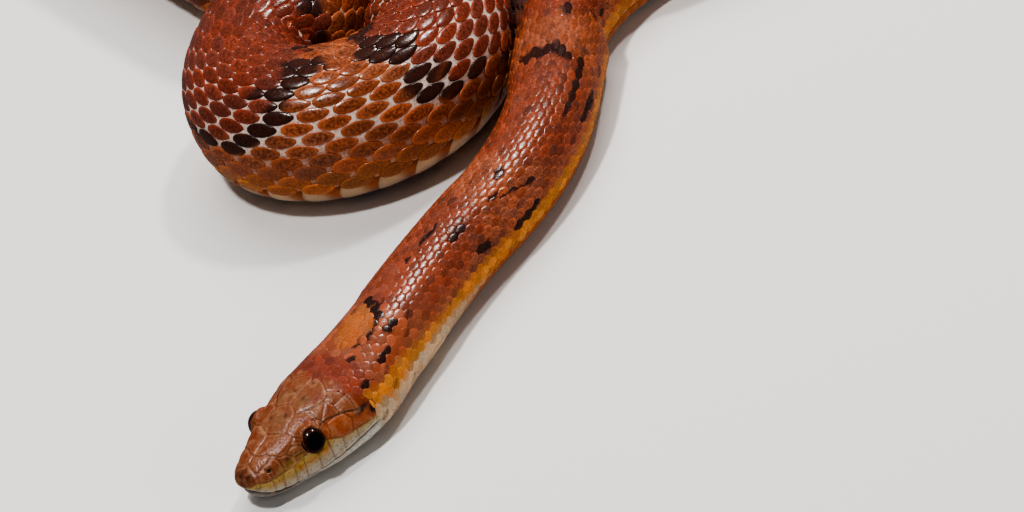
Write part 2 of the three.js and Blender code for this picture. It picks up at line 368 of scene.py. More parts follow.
# The skin
# One unbroken skin from the snout to the tip of the tail. On the head it is bare horn, moulded into the
# large plates with fine seams. Behind the head it is soft and pale, and shows between the scales.
HEAD_REAR = 28
HEAD_STEP = 0.155
HEAD_COLUMNS = 300
BODY_STEP = 2.6
BODY_COLUMNS = 48
LIP_LINE = ((-2, 4.3), (TIP, 4.1), (1.2, 2.9), (3, 2.4), (6, 2.1), (10, 2.2), (14, 2.7), (17, 3.4), (20, 4),
            (22.5, 4.3))
JAW_CORNER = 22.5
# Seams between the plates of the head, drawn as strokes through (station, share) on both sides
SEAMS = (
    # between the snout plates, the plates before the eyes, and the two big plates of the crown
    ((1.6, 0), (7.5, 0)), ((14.2, 0), (20.6, 0)),
    # rostral
    ((1.6, 0), (1.2, 0.06), (0.8, 0.14), (0.6, 0.22), (0.3, 0.3), (0, 0.4), (-0.3, 0.5)),
    # internasal and prefrontal
    ((3.2, 0), (3.4, 0.08), (4, 0.13), (4.3, 0.2)), ((0.6, 0.22), (1.8, 0.21), (3, 0.22), (4.3, 0.2)),
    ((4.3, 0.2), (5.3, 0.28), (6.2, 0.3), (7.4, 0.28), (8.9, 0.24)),
    # frontal
    ((7.5, 0), (8.1, 0.08), (8.8, 0.155)), ((8.8, 0.155), (10.5, 0.12), (11.6, 0.115), (12.7, 0.105)),
    ((12.7, 0.105), (13.3, 0.07), (14.2, 0)),
    # brow plate
    ((8.8, 0.155), (8.9, 0.24), (9.7, 0.275), (11, 0.262), (12.5, 0.265), (13.8, 0.25)),
    ((12.7, 0.105), (13.3, 0.15), (14, 0.2), (13.8, 0.25)),
    # crown plates
    ((12.7, 0.105), (13.6, 0.13), (14.5, 0.165), (15.3, 0.19), (16.2, 0.205), (17.4, 0.21), (18.6, 0.19)),
    ((18.6, 0.19), (19.8, 0.12), (20.9, 0.04), (20.6, 0)),
    # nasals, loreal and the plates before the eye
    ((1.8, 0.21), (2.3, 0.29), (2.1, 0.42)), ((4.3, 0.2), (4.7, 0.3), (4.5, 0.43)),
    ((6.2, 0.3), (6.9, 0.36), (7.1, 0.44)), ((7.4, 0.28), (8.6, 0.31), (9, 0.34)), ((7, 0.38), (8.6, 0.39)),
    # plates behind the eye
    ((12.9, 0.3), (13.8, 0.25)), ((13, 0.35), (14.2, 0.34)),
    ((13.8, 0.25), (14.4, 0.34), (14.2, 0.4), (13.5, 0.44)),
    # temples
    ((14.4, 0.34), (16.3, 0.34), (18.3, 0.37), (19.8, 0.41), (21.1, 0.43)),
    ((14.3, 0.3), (15.6, 0.26), (17.4, 0.21)),
    ((17.4, 0.21), (17.7, 0.28), (17.3, 0.35)), ((17.7, 0.28), (19.9, 0.28)), ((19.1, 0.17), (20.2, 0.24)),
    ((20.2, 0.24), (20.3, 0.33), (19.8, 0.41)), ((17.8, 0.36), (18.4, 0.43), (17.6, 0.5)),
    # upper lip
    ((0.1, 0.38), (1, 0.415), (2.3, 0.425), (4.8, 0.435), (6.2, 0.445), (7.8, 0.435), (8.7, 0.42)),
    ((12.6, 0.43), (13.5, 0.445), (14.8, 0.48), (16, 0.5), (17.8, 0.505), (19.5, 0.51), (21.8, 0.53)),
    ((2, 0.425), (1.8, 0.63)), ((3.9, 0.435), (3.3, 0.64)), ((6.1, 0.445), (5.5, 0.66)),
    ((8, 0.435), (7.4, 0.67)), ((10.6, 0.47), (10, 0.67)), ((12.9, 0.44), (12.7, 0.67)),
    ((15.4, 0.49), (15, 0.65)), ((18.2, 0.505), (18, 0.62)),
    # lower lip and chin
    ((0.6, 0.8), (3, 0.78), (8, 0.78), (14, 0.79), (20, 0.8)), ((1.6, 0.66), (1.5, 0.79)),
    ((3.5, 0.67), (3.3, 0.78)), ((5.5, 0.69), (5.3, 0.78)), ((7.6, 0.7), (7.4, 0.78)),
    ((10, 0.7), (9.8, 0.78)), ((12.8, 0.7), (12.6, 0.79)), ((15.6, 0.68), (15.4, 0.79)),
    ((18.6, 0.66), (18.4, 0.8)), ((0.9, 1), (15, 1)), ((1, 0.86), (5, 0.88), (7.2, 1)),
    ((7.2, 1), (8.6, 0.89), (13, 0.88), (14.5, 1)),
)
# A stroke without length, for a round hole
NOSTRIL = ((2.5, 0.3), (2.5, 0.3))
# The jaws bulge at the rear, so that a share of the girth there is this much more on the plates
JAW_SWELL = ((TIP, 1), (6, 1.01), (12, 1.02), (16, 1.037), (20, 1.048), (25, 1.056), (30, 1.05), (36, 1.025),
             (60, 1), (1340, 1))
# The seams that are drawn dark: beside a crown plate, and the line from the eye to the corner of the mouth
DARK_SEAMS = (
    ((14, 0.145), (14.5, 0.165), (15.3, 0.19), (16.2, 0.205), (17.4, 0.212)),
    ((12.9, 0.33), (13.9, 0.31), (14.8, 0.315), (16.3, 0.34), (18.3, 0.37), (19.5, 0.4), (21.1, 0.43)),
)


def distance_to(strokes, s, share):
    """Distance over the unrolled head to the nearest of the strokes, in millimetres."""
    girth = half_girth(s)
    x, y = s, np.abs(share) * girth
    nearest = np.full(np.shape(s), 9.0)
    for stroke in strokes:
        for (s0, w0), (s1, w1) in zip(stroke, stroke[1:]):
            y0, y1 = w0 * girth, w1 * girth
            dx, dy = s1 - s0, y1 - y0
            t = np.clip(((x - s0) * dx + (y - y0) * dy) / np.maximum(dx**2 + dy**2, 1e-9), 0, 1)
            nearest = np.minimum(nearest, np.hypot(x - s0 - t * dx, y - y0 - t * dy))
    return nearest


def below_lip(s, share):
    """How far a place on the head lies below the lip line, in millimetres."""
    _, up = section(s, angle_of(s, share))
    return np.interp(s, *np.array(LIP_LINE).T) - up


def head_relief(s, share):
    """How far the horn of the head stands out, in millimetres: seams, mouth, brow, nostril and hollows."""
    below = below_lip(s, share)
    mouth = smooth(JAW_CORNER + 0.6, JAW_CORNER - 0.6, s)
    short_jaw = 0.05 + 0.4 * smooth(4, -0.5, s)
    relief = -short_jaw * mouth * smooth(-0.05, 0.25, below) * smooth(3.4, 0.4, below)
    relief -= 0.16 * mouth * np.exp(-((below / 0.16) ** 2))
    relief += 0.1 * mouth * np.exp(-(((below + 0.55) / 0.4) ** 2))
    relief += 0.25 * mouth * smooth(9, 14, s) * np.exp(-(((below - 0.95) / 0.55) ** 2))
    share = share * along(JAW_SWELL, s)
    seam = distance_to(SEAMS, s, share)
    plates = smooth(22.4, 21.2, s)
    relief -= plates * (0.08 * np.exp(-((seam / 0.13) ** 2)) + 0.08 * np.exp(-((seam / 0.4) ** 2)))
    relief -= 0.65 * np.exp(-((distance_to((NOSTRIL,), s, share) / 0.36) ** 2))
    for station, at, long, tall, lift in (
        (6.2, 0.39, 2.0, 0.06, -0.32), (11.3, 0.255, 2.4, 0.035, 0.14), (2.5, 0.3, 1.3, 0.08, 0.14),
        (17, 0.3, 3, 0.05, -0.16), (18.5, 0.45, 3.5, 0.09, 0.22), (6.6, 0.0, 2.6, 0.09, -0.14),
        (17, 0.11, 3.2, 0.08, 0.12), (7.2, 0.24, 2.5, 0.035, 0.14),
    ):
        relief += lift * mound(s, share, station, at, long, tall)
    return relief


def middle_of(node_name):
    low, high = (np.array(corner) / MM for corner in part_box(node_name))
    return (low + high) / 2, (high[2] - low[2]) / 2


EYE_STATION = 11.2
EYE_OPENING = 2.34
EYE_NARROWING = 0.42
EYE_LOOKS_UP = 19
EYE_LOOKS_AHEAD = 13


def eye_axis(sign):
    """The way an eye looks: sideways, a little up and a little ahead."""
    heading = float(heading_at(EYE_STATION))
    left = np.array([np.sin(heading), -np.cos(heading), 0]) * sign
    ahead = -np.array([np.cos(heading), np.sin(heading), 0])
    up, forward = np.radians(EYE_LOOKS_UP), np.radians(EYE_LOOKS_AHEAD)
    level = left * np.cos(forward) + ahead * np.sin(forward)
    return level * np.cos(up) + np.array([0, 0, np.sin(up)])


def seat_eyes(points):
    """Draws the skin under each eyeball, with a fine raised ring of small plates round it."""
    for name, sign in (("eye_left", 1), ("eye_right", -1)):
        centre, radius = middle_of(name)
        axis = eye_axis(sign)
        out = (points - centre) @ axis
        aside = points - centre - out[:, None] * axis
        along_head = np.cross(axis, (0, 0, 1))
        lengthwise = aside @ (along_head / np.linalg.norm(along_head))
        reach = np.sqrt(np.sum(aside**2, axis=1) + EYE_NARROWING * lengthwise**2)
        near = (out > -0.5) & (reach < 4)
        ball = np.sqrt(np.maximum(radius**2 - np.sum(aside**2, axis=1), 0))
        rim = np.sqrt(radius**2 - EYE_OPENING**2) + 0.15
        ring = rim + (out - rim) * smooth(EYE_OPENING + 0.3, EYE_OPENING + 1.1, reach)
        ring = np.where(reach < radius, np.maximum(ring, ball + 0.08), ring)
        hidden = 1 - smooth(EYE_OPENING - 0.12, EYE_OPENING + 0.04, reach)
        wanted = ring + (ball - 0.4 - ring) * hidden
        points[near] += (wanted - out)[near, None] * axis
    return points


def wrapped_grid(shell, stations, columns):
    """Adds a tube of skin as a flat grid whose points know their station and their share of the girth."""
    station = shell.verts.layers.float["station"]
    share = shell.verts.layers.float["share"]
    made = bmesh.ops.create_grid(shell, x_segments=len(stations) - 1, y_segments=columns, size=0.5)
    for vert in made["verts"]:
        vert[station] = stations[round((vert.co.x + 0.5) * (len(stations) - 1))]
        vert[share] = 2 * round((vert.co.y + 0.5) * columns) / columns - 1


def lay_on_body(shell):
    """Moves every point of the flat grids to its place on the body."""
    station = shell.verts.layers.float["station"]
    share = shell.verts.layers.float["share"]
    s = np.array([v[station] for v in shell.verts])
    w = np.array([v[share] for v in shell.verts])
    depth = coat_depth(s) * smooth(19.5, 23, s) - head_relief(s, w)
    points, _ = surface(s, angle_of(s, w), depth)
    for vert, point in zip(shell.verts, seat_eyes(points) * MM):
        vert.co = point


def spread(start, end, step):
    return np.linspace(start, end, max(2, round((end - start) / step) + 1))


def finished_object(shell, name):
    bmesh.ops.recalc_face_normals(shell, faces=shell.faces)
    mesh = bpy.data.meshes.new(name)
    shell.to_mesh(mesh)
    shell.free()
    mesh.shade_smooth()
    made = bpy.data.objects.new(name, mesh)
    bpy.context.collection.objects.link(made)
    return made


def numbers_of(mesh, name):
    values = np.empty(len(mesh.vertices), dtype=np.float32)
    mesh.attributes[name].data.foreach_get("value", values)
    return values.astype(float)


HEAD_TAN = (0.26, 0.098, 0.04)
HEAD_RED = (0.21, 0.038, 0.011)
HEAD_OLIVE = (0.21, 0.11, 0.045)
SNOUT_BROWN = (0.17, 0.042, 0.014)
CHEEK_OLIVE = (0.22, 0.11, 0.022)
CHEEK_RED = (0.36, 0.085, 0.024)
LIP_YELLOW = (0.4, 0.27, 0.075)
LIP_GOLD = (0.42, 0.17, 0.02)
LIP_WHITE = (0.42, 0.36, 0.27)
JAW_WHITE = (0.56, 0.52, 0.45)
SEAM_DARK = (0.13, 0.03, 0.014)
SEAM_HIGHLIGHT = (0.46, 0.22, 0.11)
SEAM_BLACK = (0.03, 0.012, 0.008)
PALE_SKIN = (0.8, 0.64, 0.55)


def skin_colours(s, share):
    """The colours of the head plates, with painted shade in the mouth line and the nostrils and a painted
    highlight beside the seams, and of the pale skin that shows between the scales behind them.
    """
    below = below_lip(s, share)
    pale = 0.25 + 0.7 * smooth(90, 260, s) * smooth(0.48, 0.4, np.abs(share))
    behind = painted(hide_colours(s, share), PALE_SKIN, pale)
    share = share * along(JAW_SWELL, s)
    w = np.abs(share)
    colours = painted(np.zeros((len(s), 3)), HEAD_TAN, np.ones(len(s)))
    ripple = wavy(9 * s, 5 * share, 4)
    colours = painted(colours, HEAD_RED, np.clip(0.35 + 0.4 * ripple, 0, 1))
    for station, at, long, tall in (
        (6.5, 0.17, 1.3, 0.07), (12.4, 0.21, 1.2, 0.05), (2.6, 0.13, 1.0, 0.06), (17, 0.16, 2, 0.05),
        (9.5, 0.2, 1, 0.05), (16.5, 0.27, 2, 0.03),
    ):
        colours = painted(colours, HEAD_RED, 0.75 * mound(s, share, station, at, long, tall))
    for station, at, long, tall in ((10.6, 0.04, 1.7, 0.05), (15.4, 0.09, 1.6, 0.05), (8.2, 0.1, 0.9, 0.05)):
        colours = painted(colours, HEAD_OLIVE, 0.6 * mound(s, share, station, at, long, tall))
    colours = painted(colours, HEAD_RED, 0.9 * smooth(18.5, 22, s) * smooth(0.5, 0.4, w))
    colours = painted(colours, SNOUT_BROWN, 0.85 * smooth(1.5, 0.4, s) * smooth(0.34, 0.26, w))
    colours = painted(colours, SEAM_BLACK, 0.7 * mound(s, share, -0.3, 0.11, 0.7, 0.045))
    colours = painted(colours, CHEEK_OLIVE, smooth(0.32, 0.38, w) * smooth(2.6, 4.2, s) * smooth(9.4, 8, s))
    lip_stations = (0, 1, 5, 8.7, 12.6, 14.8, 16, 22)
    lip_from = np.interp(s, lip_stations, (0.37, 0.41, 0.43, 0.42, 0.43, 0.48, 0.5, 0.53))
    cheek_from = np.interp(s, (12.5, 14.8, 16.3, 18.3, 21.1, 24), (0.33, 0.315, 0.34, 0.37, 0.43, 0.44))
    cheek = smooth(cheek_from - 0.01, cheek_from + 0.01, w) * smooth(12.6, 13.4, s)
    colours = painted(colours, CHEEK_RED, cheek)
    lip = smooth(lip_from - 0.006, lip_from + 0.006, w)
    colours = painted(colours, LIP_YELLOW, lip)
    gold = mound(s, share, 6.9, 0.49, 0.7, 0.035) + mound(s, share, 9.4, 0.5, 1, 0.03)
    gold += mound(s, share, 12, 0.49, 1.2, 0.045) + 0.5 * mound(s, share, 3, 0.49, 0.8, 0.03)
    colours = painted(colours, LIP_GOLD, np.clip(0.9 * gold * lip, 0, 1))
    white = smooth(lip_from + 0.06, lip_from + 0.16, w + 0.09 * smooth(11.5, 14.5, s))
    colours = painted(colours, LIP_WHITE, white * lip)
    seam = distance_to(SEAMS, s, share)
    colours = painted(colours, SEAM_DARK, 0.55 * np.exp(-((seam / 0.14) ** 2)) * smooth(21.8, 20.8, s))
    # Painted highlight: a pale band along the plate edges beside each seam, away from the lips.
    colours = painted(colours, SEAM_HIGHLIGHT, 0.35 * np.exp(-(((seam - 0.3) / 0.13) ** 2)) * (1 - lip))
    dark = distance_to(DARK_SEAMS, s, share)
    colours = painted(colours, SEAM_BLACK, 0.8 * np.exp(-((dark / 0.2) ** 2)))
    for station, at, long, tall in (
        (20.6, 0.425, 1.3, 0.018), (24.5, 0.32, 1.2, 0.02), (22.4, 0.47, 0.6, 0.03),
    ):
        colours = painted(colours, EDGE_BLACK, np.clip(1.5 * mound(s, share, station, at, long, tall), 0, 1))
    for station, at, size in (
        (11.7, 0.04, 0.42), (15.9, 0.07, 0.5), (16.6, -0.05, 0.4), (10.4, -0.08, 0.3), (14.1, 0.235, 0.4),
        (19.6, 0.04, 0.4), (5.9, 0.34, 0.35),
    ):
        fleck = np.exp(-(((s - station) / size) ** 2) - ((share - at) * half_girth(s) / size) ** 2)
        colours = painted(colours, SEAM_BLACK, 0.75 * fleck)
    # Painted shade inside the nostril opening.
    colours = painted(colours, SEAM_BLACK, np.exp(-((distance_to((NOSTRIL,), s, share) / 0.42) ** 2)))
    mouth = smooth(JAW_CORNER + 0.6, JAW_CORNER - 0.6, s)
    colours = painted(colours, JAW_WHITE, mouth * smooth(0, 0.15, below))
    colours = painted(colours, JAW_WHITE, 0.75 * mouth * np.exp(-(((below + 0.3) / 0.22) ** 2)))
    # Painted shadow along the mouth line, in the gap between the jaws: it widens down over the jaw at the
    # front, under the overhanging upper lip.
    mouth_shadow_width = np.where(below < 0, 0.15, 0.22 + 1.4 * smooth(7.5, 0.5, s))
    colours = painted(colours, SEAM_BLACK, 0.95 * mouth * np.exp(-((below / mouth_shadow_width) ** 2)))
    along_body = smooth(22.5, 26, s)[:, None]
    return colours * (1 - along_body) + behind * along_body


shell = bmesh.new()
shell.verts.layers.float.new("station")
shell.verts.layers.float.new("share")
snout_stations = FIRST + (HEAD_STEP * 14 - FIRST) * np.linspace(0, 1, 24) ** 1.6
head_stations = np.concatenate([snout_stations, spread(HEAD_STEP * 15, HEAD_REAR, HEAD_STEP)])
wrapped_grid(shell, head_stations, HEAD_COLUMNS)
wrapped_grid(shell, spread(HEAD_REAR + 0.8, LENGTH, BODY_STEP), BODY_COLUMNS)
lay_on_body(shell)
bmesh.ops.remove_doubles(shell, verts=shell.verts, dist=1e-8)
station = shell.verts.layers.float["station"]
open_edges = [e for e in shell.edges if e.is_boundary]
join = [e for e in open_edges if HEAD_REAR - 1 < e.verts[0][station] < HEAD_REAR + 2]
bmesh.ops.bridge_loops(shell, edges=join)
bmesh.ops.holes_fill(shell, edges=[e for e in shell.edges if e.is_boundary], sides=0)
skin = finished_object(shell, "skin")
skin_s, skin_w = (numbers_of(skin.data, name) for name in ("station", "share"))
write_colours(skin.data, "Hide", skin_colours(skin_s, skin_w))


def fine_grain(tree, shader, scale, smoothest, roughest, strength, depth):
    """Pits the horn finely, and lets its gloss vary with them."""
    where = node(tree, "ShaderNodeTexCoord").outputs["Object"]
    pits = node(tree, "ShaderNodeTexNoise", {"Vector": where, "Scale": scale, "Detail": 2.0}).outputs[0]
    rough = node(tree, "ShaderNodeMapRange", {0: pits, 1: 0.3, 2: 0.7, 3: smoothest, 4: roughest}).outputs[0]
    tree.links.new(rough, shader.inputs["Roughness"])
    bump = node(tree, "ShaderNodeBump", {"Strength": strength, "Distance": depth, "Height": pits})
    tree.links.new(bump.outputs[0], shader.inputs["Normal"])


HORN_DARK = (0.12, 0.035, 0.014)
HORN_PALE = (0.46, 0.24, 0.13)

material, tree, shader = blank_material("bare skin")
hide = node(tree, "ShaderNodeAttribute", attribute_name="Hide").outputs["Color"]
colour = blend_of(tree, product_of(tree, mottle(tree, 0.4, 0.5, 0.62), 0.5), hide, HORN_DARK)
colour = blend_of(tree, product_of(tree, mottle(tree, 1.3, 0.5, 0.66), 0.45), colour, HORN_PALE)
tree.links.new(blend_of(tree, 0.75, hide, colour), shader.inputs["Base Color"])
fine_grain(tree, shader, 2600.0, 0.26, 0.42, 0.5, 0.0002)
skin.data.materials.append(material)
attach(skin, "root")
flesh = [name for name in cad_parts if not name.startswith("eye")]
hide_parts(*flesh)


# The eyes
# Each eye is a ball under a clear fixed scale, with a large round black pupil and a thin ring of dark
# red-brown iris. It is seated in the ring of small plates and doesn't close.
PUPIL = 1.6
PUPIL_BLACK = (0.002, 0.002, 0.003)
IRIS_BROWN = (0.055, 0.012, 0.006)
IRIS_STREAKS = (0.004, 0.002, 0.002)
IRIS_RIM = (0.012, 0.004, 0.003)
IRIS_EDGE = (2.1, 2.3)

material, tree, shader = blank_material("eye")
reach = node(tree, "ShaderNodeAttribute", attribute_name="reach").outputs["Fac"]
iris = blend_of(tree, spread_to(tree, reach, PUPIL - 0.04, PUPIL + 0.08), PUPIL_BLACK, IRIS_BROWN)
streaks = product_of(tree, mottle(tree, 0.25, 0.4, 0.6), 0.6)
iris = blend_of(tree, streaks, iris, IRIS_STREAKS)
iris = blend_of(tree, spread_to(tree, reach, *IRIS_EDGE), iris, IRIS_RIM)
tree.links.new(iris, shader.inputs["Base Color"])
shader.inputs["Roughness"].default_value = 0.3
shader.inputs["Specular IOR Level"].default_value = 0.1
shader.inputs["Coat Weight"].default_value = 1.0
shader.inputs["Coat Roughness"].default_value = 0.02
shader.inputs["Coat IOR"].default_value = 1.37

for name, sign in (("eye_left", 1), ("eye_right", -1)):
    centre, radius = middle_of(name)
    axis = eye_axis(sign)
    ball = bmesh.new()
    turn = Vector(axis).to_track_quat("Z", "Y").to_matrix().to_4x4()
    where = Matrix.Translation(Vector(centre * MM)) @ turn
    bmesh.ops.create_uvsphere(ball, u_segments=48, v_segments=32, radius=radius * MM, matrix=where)
    eye = finished_object(ball, name + "_glass")
    points = np.array([v.co[:] for v in eye.data.vertices]) / MM - centre
    out = points @ axis
    aside = np.linalg.norm(points - out[:, None] * axis, axis=1)
    layer = eye.data.attributes.new("reach", "FLOAT", "POINT")
    layer.data.foreach_set("value", np.where(out > 0, aside, radius).astype(np.float32))
    eye.data.materials.append(material)
    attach(eye, "root")
    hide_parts(name)


# The scales of the back and sides
# Thin plates of horn like broad almonds, each rooted at its front end and free behind. They lie like roof
# tiles in 21 to 27 rows round the body, fewer on the tail, and are all stamped from one domed plate.
PITCH = ((18, 1.8), (26, 2), (60, 2.6), (130, 3.6), (250, 4.9), (420, 6.3), (800, 6), (1000, 5.2),
         (1120, 4.2), (1200, 3.2), (1340, 1.5))
ROWS = ((20, 21), (50, 25), (250, 27), (450, 27), (800, 27), (950, 23), (1120, 19), (1180, 12), (1260, 8),
        (1340, 5))
EDGE_SHARE = 0.65
SCALE_SIDES = 14
SCALE_LENGTH = 1.1
SCALE_WIDTH = 1.36
FULLNESS = 1.75
ROOT_DEPTH = 0.3
CROWN_RISE = 0.62
FIRST_CROSS_ROW = 19.4


def ring_stack(rings, sides):
    """A closed plate built up from a circle by pulling its edge through rings of (radius, height)."""
    plate = bmesh.new()
    made = bmesh.ops.create_circle(plate, segments=sides, radius=rings[0][0], cap_ends=True)
    for vert in made["verts"]:
        vert.co.z = rings[0][1]
    edges = list(plate.edges)
    for radius, height in rings[1:]:
        pulled = bmesh.ops.extrude_edge_only(plate, edges=edges)["geom"]
        edges = [g for g in pulled if isinstance(g, bmesh.types.BMEdge)]
        for vert in (g for g in pulled if isinstance(g, bmesh.types.BMVert)):
            ratio = radius / np.hypot(vert.co.x, vert.co.y)
            vert.co = Vector((vert.co.x * ratio, vert.co.y * ratio, height))
    centre = {v for e in edges for v in e.verts}
    bmesh.ops.pointmerge(plate, verts=list(centre), merge_co=(0, 0, rings[-1][1]))
    return plate


def shape_of(plate):
    """The points and faces of a plate, turned to face outwards."""
    bmesh.ops.recalc_face_normals(plate, faces=plate.faces)
    plate.verts.index_update()
    points = np.array([v.co[:] for v in plate.verts])
    faces = [[v.index for v in face.verts] for face in plate.faces]
    plate.free()
    return points, faces


# Rings of the plate: its underside, its side wall, its rounded shoulder and its crown
SCALE_RINGS = ((0.97, 0.0), (1.0, 0.3), (0.9, 0.72), (0.55, 0.93), (0.05, 1.0))
scale_points, scale_faces = shape_of(ring_stack(SCALE_RINGS, SCALE_SIDES))
round_off = np.arctan2(scale_points[:, 1], scale_points[:, 0])
outline = (np.abs(np.cos(round_off)) ** FULLNESS + np.abs(np.sin(round_off)) ** FULLNESS) ** (-1 / FULLNESS)
scale_points[:, :2] *= outline[:, None]
scale_points[:, 1] *= 1 + 0.16 * scale_points[:, 0]


def segment_stations():
    """Where each belly plate, and with it each cross row of scales, starts."""
    found = [FIRST_CROSS_ROW]
    while found[-1] < LENGTH - 3:
        s = found[-1]
        tight = abs(fact("bend", s + 2)) * fact("half", s)
        found.append(s + float(along(PITCH, s)) / (1 + 0.6 * tight))
    return np.array(found)


segments = segment_stations()
rng = np.random.default_rng(7)


def flecks_at(s, share):
    """How strongly a scale is flecked and edged: little on the nape and the pale sides."""
    behind = 0.26 + 0.44 * smooth(30, 70, s) + 0.3 * smooth(110, 300, s)
    return behind * (1 - 0.45 * smooth(0.45, 0.55, np.abs(share)))


def stamped(name, roots, template, sizes, tips, keels, colours_at):
    """One mesh of many plates: each is laid on the body at its root, and leans up towards its free tip."""
    (s0, w0), (points, faces), (lengths, widths, thickness) = roots, template, sizes
    count, corners = len(s0), len(points)
    x, y, z = points.T
    _, stretch = surface(s0, angle_of(s0, w0), np.zeros(count))
    s = s0[:, None] + x[None] * (lengths / 2 / np.maximum(stretch, 0.3))[:, None]
    share = w0[:, None] + y[None] * (widths / 2 / half_girth(s0))[:, None]
    ahead = (x + 1) / 2
    crown = np.exp(-((y / 0.2) ** 2)) * (z > 0.5) * (1 - np.minimum(x**2, 1))
    height = thickness[:, None] * (-ROOT_DEPTH + tips * ahead**1.3 + CROWN_RISE * z)
    height += thickness[:, None] * keels[:, None] * crown
    s = np.clip(s, FIRST, LENGTH)
    laid, _ = surface(s, angle_of(s, share), thickness[:, None] - height)
    laid[..., 2] = np.maximum(laid[..., 2], 0.02)
    offsets = np.arange(count) * corners
    loops = np.concatenate([np.array(face) for face in faces])
    corner_indices = (offsets[:, None] + loops[None]).ravel()
    face_sizes = np.tile([len(face) for face in faces], count)
    mesh = bpy.data.meshes.new(name)
    mesh.vertices.add(count * corners)
    mesh.vertices.foreach_set("co", (laid * MM).astype(np.float32).ravel())
    mesh.loops.add(len(corner_indices))
    mesh.loops.foreach_set("vertex_index", corner_indices.astype(np.int32))
    mesh.polygons.add(len(face_sizes))
    starts = np.concatenate([[0], np.cumsum(face_sizes)[:-1]])
    mesh.polygons.foreach_set("loop_start", starts.astype(np.int32))
    mesh.update(calc_edges=True)
    mesh.validate()
    mesh.shade_smooth()
    chance = rng.random(count)
    write_colours(mesh, "Hide", colours_at(s0, w0, s, share, x, chance).reshape(-1, 3))
    radius = np.hypot(x, y)
    flecks = np.repeat(flecks_at(s0, w0), corners)
    write_colours(mesh, "Plate", (np.tile(ahead, count), np.tile(radius, count), flecks))
    bake = mesh.uv_layers.new(name="OFBake")
    span = s0.max() - s0.min() + 1
    u = 0.02 + 0.96 * np.repeat((s0 - s0.min()) / span, corners) + 0.0015 * np.tile(x, count)
    v = 0.02 + 0.96 * np.repeat((w0 + 1) / 2, corners) + 0.0015 * np.tile(y, count)
    bake.data.foreach_set("uv", np.column_stack([u, v])[corner_indices].astype(np.float32).ravel())
    made = bpy.data.objects.new(name, mesh)
    bpy.context.collection.objects.link(made)
    return made


DUSKY_PART = 0.14
DUSKY_BROWN = (0.07, 0.04, 0.035)


def scale_colours(s0, w0, s, share, x, chance):
    """Mostly one colour for each scale, with ragged borders and some scales lighter or darker."""
    drift = rng.normal(0, 0.25, len(s0)) * along(PITCH, s0)
    own_s = (s0 + drift)[:, None] + 0.45 * (s - s0[:, None])
    own_w = w0[:, None] + 0.45 * (share - w0[:, None])
    colours = hide_colours(own_s, own_w, soft=0.45 * (chance - 0.5)[:, None])
    on_neck = smooth(44, 60, s0) * smooth(140, 115, s0) * smooth(0.45, 0.35, np.abs(w0))
    dusky = (rng.random(len(s0)) < DUSKY_PART) * on_neck
    colours = painted(colours, DUSKY_BROWN, 0.5 * dusky[:, None] * smooth(-0.4, 0.5, x))
    shade = 0.78 + 0.44 * rng.random(len(s0))
    redder = 1 + 0.24 * (rng.random(len(s0)) - 0.5)
    return colours * np.column_stack([shade * redder, shade, shade / redder])[:, None]


def first_scale_at(share):
    """Where the small scales of the nape and temples start, behind the plates of the head."""
    shares = (0, 0.12, 0.2, 0.3, 0.45, 0.55, 0.7)
    return np.interp(np.abs(share), shares, (20.3, 19.9, 19.8, 20.4, 21.3, 22.6, 24))


def scale_roots():
    s_list, w_list, k_list = [], [], []
    for index in range(len(segments) - 1):
        s = segments[index]
        step = segments[index + 1] - s
        for row in range(-14, 15):
            centre = s + step * (0.5 if row % 2 else 0)
            rows = float(along(ROWS, centre))
            spacing = 2 * EDGE_SHARE / rows
            if abs(row) > (rows - 1) / 2 + 0.2 or centre < first_scale_at(row * spacing):
                continue
            s_list.append(centre)
            w_list.append(row * spacing)
            k_list.append(row)
    return np.array(s_list), np.array(w_list), np.array(k_list)


TAUT_STATION = 432
TAUT_REACH = 36
root_s, root_w, root_row = scale_roots()
rows_at = along(ROWS, root_s)
pitch_at = np.interp(root_s, segments[:-1], np.diff(segments))
_, stretch_at = surface(root_s, angle_of(root_s, root_w), np.zeros(len(root_s)))
lengths = SCALE_LENGTH * along(PITCH, root_s)
lengths = np.minimum(lengths, pitch_at * stretch_at * 1.1)
lengths = np.maximum(lengths, pitch_at * np.minimum(stretch_at, 1)) * (1 + 0.12 * smooth(200, 120, root_s))
widths = SCALE_WIDTH * 2 * EDGE_SHARE / rows_at * half_girth(root_s)
widths *= 1 + 0.15 * smooth(0.4, 0.5, np.abs(root_w))
# The skin is taut on the outer side of the tightest bend, so that the scales part there
taut = np.exp(-(((root_s - TAUT_STATION) / TAUT_REACH) ** 4))
taut *= smooth(-0.08, -0.2, root_w) * smooth(-0.56, -0.46, root_w)
lengths *= 1 - 0.04 * taut
widths *= 1 - 0.11 * taut
thickness = coat_depth(root_s)
keels = np.clip(1 - np.abs(root_row) / 8, 0, 1) * 0.12

FLECK_BROWN = (0.085, 0.019, 0.008)
RIM_LIGHT = (0.95, 0.72, 0.62)

material, tree, shader = blank_material("body scales")
hide = node(tree, "ShaderNodeAttribute", attribute_name="Hide").outputs["Color"]
plate = node(tree, "ShaderNodeAttribute", attribute_name="Plate")
parts = node(tree, "ShaderNodeSeparateColor", {0: plate.outputs["Color"]})
inner = product_of(tree, spread_to(tree, parts.outputs[1], 1.0, 0.55), parts.outputs[2])
dark = product_of(tree, inner, mottle(tree, 0.5, 0.36, 0.6))
colour = blend_of(tree, product_of(tree, dark, 0.8), hide, FLECK_BROWN)
rim = product_of(tree, spread_to(tree, parts.outputs[1], 0.8, 1.0), product_of(tree, parts.outputs[2], 0.75))
colour = blend_of(tree, rim, colour, RIM_LIGHT, "SOFT_LIGHT")
tree.links.new(colour, shader.inputs["Base Color"])
fine_grain(tree, shader, 2200.0, 0.17, 0.32, 0.3, 0.0001)

